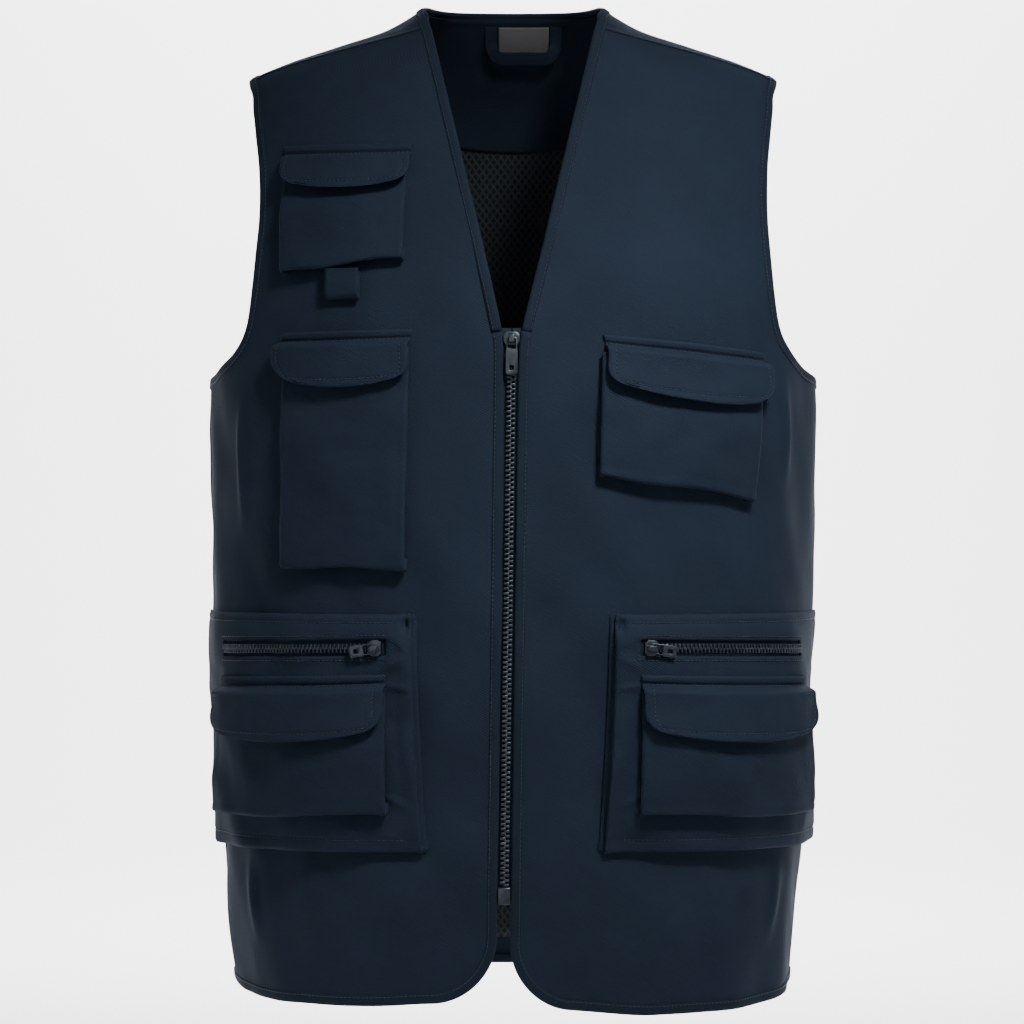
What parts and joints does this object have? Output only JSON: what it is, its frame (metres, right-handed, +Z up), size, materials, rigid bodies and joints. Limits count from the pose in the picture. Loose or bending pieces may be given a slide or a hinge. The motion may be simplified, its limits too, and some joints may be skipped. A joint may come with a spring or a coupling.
{
  "type": "utility work vest",
  "caption": "Sleeveless zip-front work vest in navy twill with flapped chest pockets, zipped cargo pockets and a net-lined back, in its worn form.",
  "frame": {"origin": "between the shoulders, level with the neck points, where the vest hangs on the wearer", "axes": "+X to the wearer's left, -Y out of the front, +Z up"},
  "size_m": [0.4408, 0.2607, 0.7242],
  "materials": {
    "shell_cloth": "matt polycotton twill, navy",
    "binding_tape": "plain woven edge tape and zip tape, dark navy",
    "net": "black knitted net",
    "label_cloth": "woven label, grey, bare",
    "zip_metal": "dark gunmetal, satin"
  },
  "bodies": {
    "vest": {"right_front": "shell_cloth", "left_front": "shell_cloth", "back_yoke": "shell_cloth", "yoke_lining": "shell_cloth", "back_panel": "shell_cloth", "mesh_lining": "net", "neck_binding": "binding_tape", "right_armhole_binding": "binding_tape", "left_armhole_binding": "binding_tape", "right_front_binding": "binding_tape", "left_front_binding": "binding_tape", "back_hem_binding": "binding_tape", "right_zip_tape": "binding_tape", "left_zip_tape": "binding_tape", "front_zip_chain": "zip_metal", "front_zip_box": "zip_metal", "front_zip_slider": "zip_metal", "pen_pocket": "shell_cloth", "pen_pocket_flap": "shell_cloth", "phone_pocket": "shell_cloth", "phone_pocket_flap": "shell_cloth", "chest_pocket": "shell_cloth", "chest_pocket_flap": "shell_cloth", "right_cargo_pocket": "shell_cloth", "right_cargo_zip_tape": "binding_tape", "right_cargo_zip_chain": "zip_metal", "right_cargo_zip_slider": "zip_metal", "right_patch_pocket": "shell_cloth", "right_patch_pocket_flap": "shell_cloth", "left_cargo_pocket": "shell_cloth", "left_cargo_zip_tape": "binding_tape", "left_cargo_zip_chain": "zip_metal", "left_cargo_zip_slider": "zip_metal", "left_patch_pocket": "shell_cloth", "left_patch_pocket_flap": "shell_cloth", "tab_loop": "shell_cloth", "neck_label": "label_cloth", "hang_loop": "binding_tape"},
    "front_zip_pull_body": {"front_zip_pull": "zip_metal"},
    "right_cargo_zip_pull_body": {"right_cargo_zip_pull": "zip_metal"},
    "left_cargo_zip_pull_body": {"left_cargo_zip_pull": "zip_metal"}
  },
  "joints": [
    {"name": "front_pull_swing", "type": "hinge", "parent": "vest", "child": "front_zip_pull_body", "pos_m": [-0.00096, -0.1316, -0.24446], "axis": [-1, 0.0013, 0], "range_deg": [0, 170]},
    {"name": "right_cargo_pull_swing", "type": "hinge", "parent": "vest", "child": "right_cargo_zip_pull_body", "pos_m": [-0.09662, -0.13422, -0.45944], "axis": [-0.1724, -0.0019, 0.985], "range_deg": [0, 160]},
    {"name": "left_cargo_pull_swing", "type": "hinge", "parent": "vest", "child": "left_cargo_zip_pull_body", "pos_m": [0.09662, -0.13422, -0.45944], "axis": [-0.1724, 0.0019, -0.985], "range_deg": [0, 160]}
  ]
}
